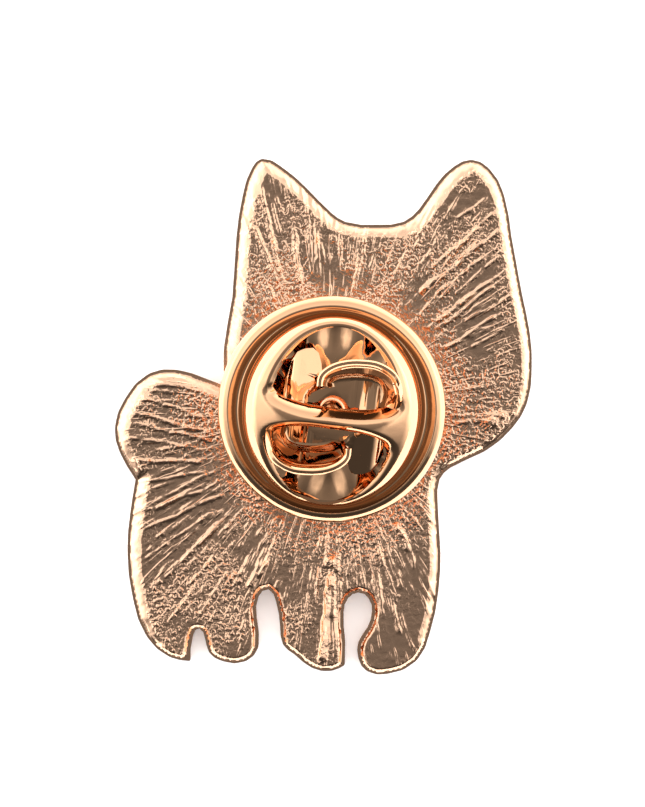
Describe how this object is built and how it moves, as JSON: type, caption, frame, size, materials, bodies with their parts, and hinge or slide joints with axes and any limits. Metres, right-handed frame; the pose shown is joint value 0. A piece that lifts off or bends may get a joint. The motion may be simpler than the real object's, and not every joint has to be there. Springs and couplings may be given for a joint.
{
  "type": "enamel pin",
  "caption": "Puppy-shaped rose-gold enamel pin with a soldered post and a butterfly clutch whose two wings squeeze together; stored face down with the clutch pushed onto the post.",
  "frame": {"origin": "where the post's axis meets the plane of the raised metal lines of the face", "axes": "+Z along the post from the face towards the clutch; +Y towards the ears; +X towards the front legs"},
  "size_m": [0.0214, 0.0265, 0.0095],
  "materials": {
    "plating": "rose-gold plating over a rough zinc casting",
    "post_plating": "rose-gold plating on a drawn nail, satin",
    "clutch_plating": "rose-gold plating, bright polish",
    "solder": "plated solder, satin",
    "enamel_tan": "gloss",
    "enamel_white": "gloss",
    "enamel_pink": "gloss",
    "enamel_black": "gloss"
  },
  "bodies": {
    "badge": {"enamel_chest": "enamel_white", "enamel_coat": "enamel_tan", "enamel_eye_left": "enamel_black", "enamel_eye_right": "enamel_black", "enamel_face_left": "enamel_tan", "enamel_face_right": "enamel_tan", "enamel_inner_ear_left": "enamel_pink", "enamel_inner_ear_right": "enamel_pink", "enamel_leg_front": "enamel_tan", "enamel_leg_front_far": "enamel_tan", "enamel_muzzle": "enamel_white", "enamel_nose": "enamel_black", "enamel_paw_front": "enamel_white", "enamel_paw_front_far": "enamel_white", "enamel_paw_rear": "enamel_white", "enamel_paw_rear_far": "enamel_white", "enamel_tail": "enamel_tan", "badge_casting": "plating", "post": "post_plating", "post_solder": "solder"},
    "clutch_base": {"clutch_base_plate": "clutch_plating"},
    "clutch": {"clutch_cap": "clutch_plating", "return_spring": "clutch_plating"},
    "wing_upper": {"lever_upper": "clutch_plating"},
    "wing_lower": {"lever_lower": "clutch_plating"}
  },
  "joints": [
    {"name": "clutch_slide", "type": "slide", "parent": "badge", "child": "clutch_base", "axis": [0, 0, 1], "range_m": [0, 0.009]},
    {"name": "clutch_turn", "type": "hinge", "parent": "clutch_base", "child": "clutch", "pos_m": [0, 0, 0.0065], "axis": [0, -0.1045, 0.9945], "continuous": true},
    {"name": "wing_upper_squeeze", "type": "hinge", "parent": "clutch", "child": "wing_upper", "pos_m": [0, 0, 0.0065], "axis": [0.9925, -0.1212, -0.0127], "range_deg": [0, 7], "stiffness_Nm_per_rad": 0.002, "springref_deg": -2.86},
    {"name": "wing_lower_squeeze", "type": "hinge", "parent": "clutch", "child": "wing_lower", "pos_m": [0, 0, 0.0065], "axis": [-0.9925, 0.1212, 0.0127], "range_deg": [0, 7], "stiffness_Nm_per_rad": 0.002, "springref_deg": -2.86}
  ],
  "couplings": [
    {"joint": "wing_lower_squeeze", "follows": "wing_upper_squeeze", "ratio": 1}
  ]
}
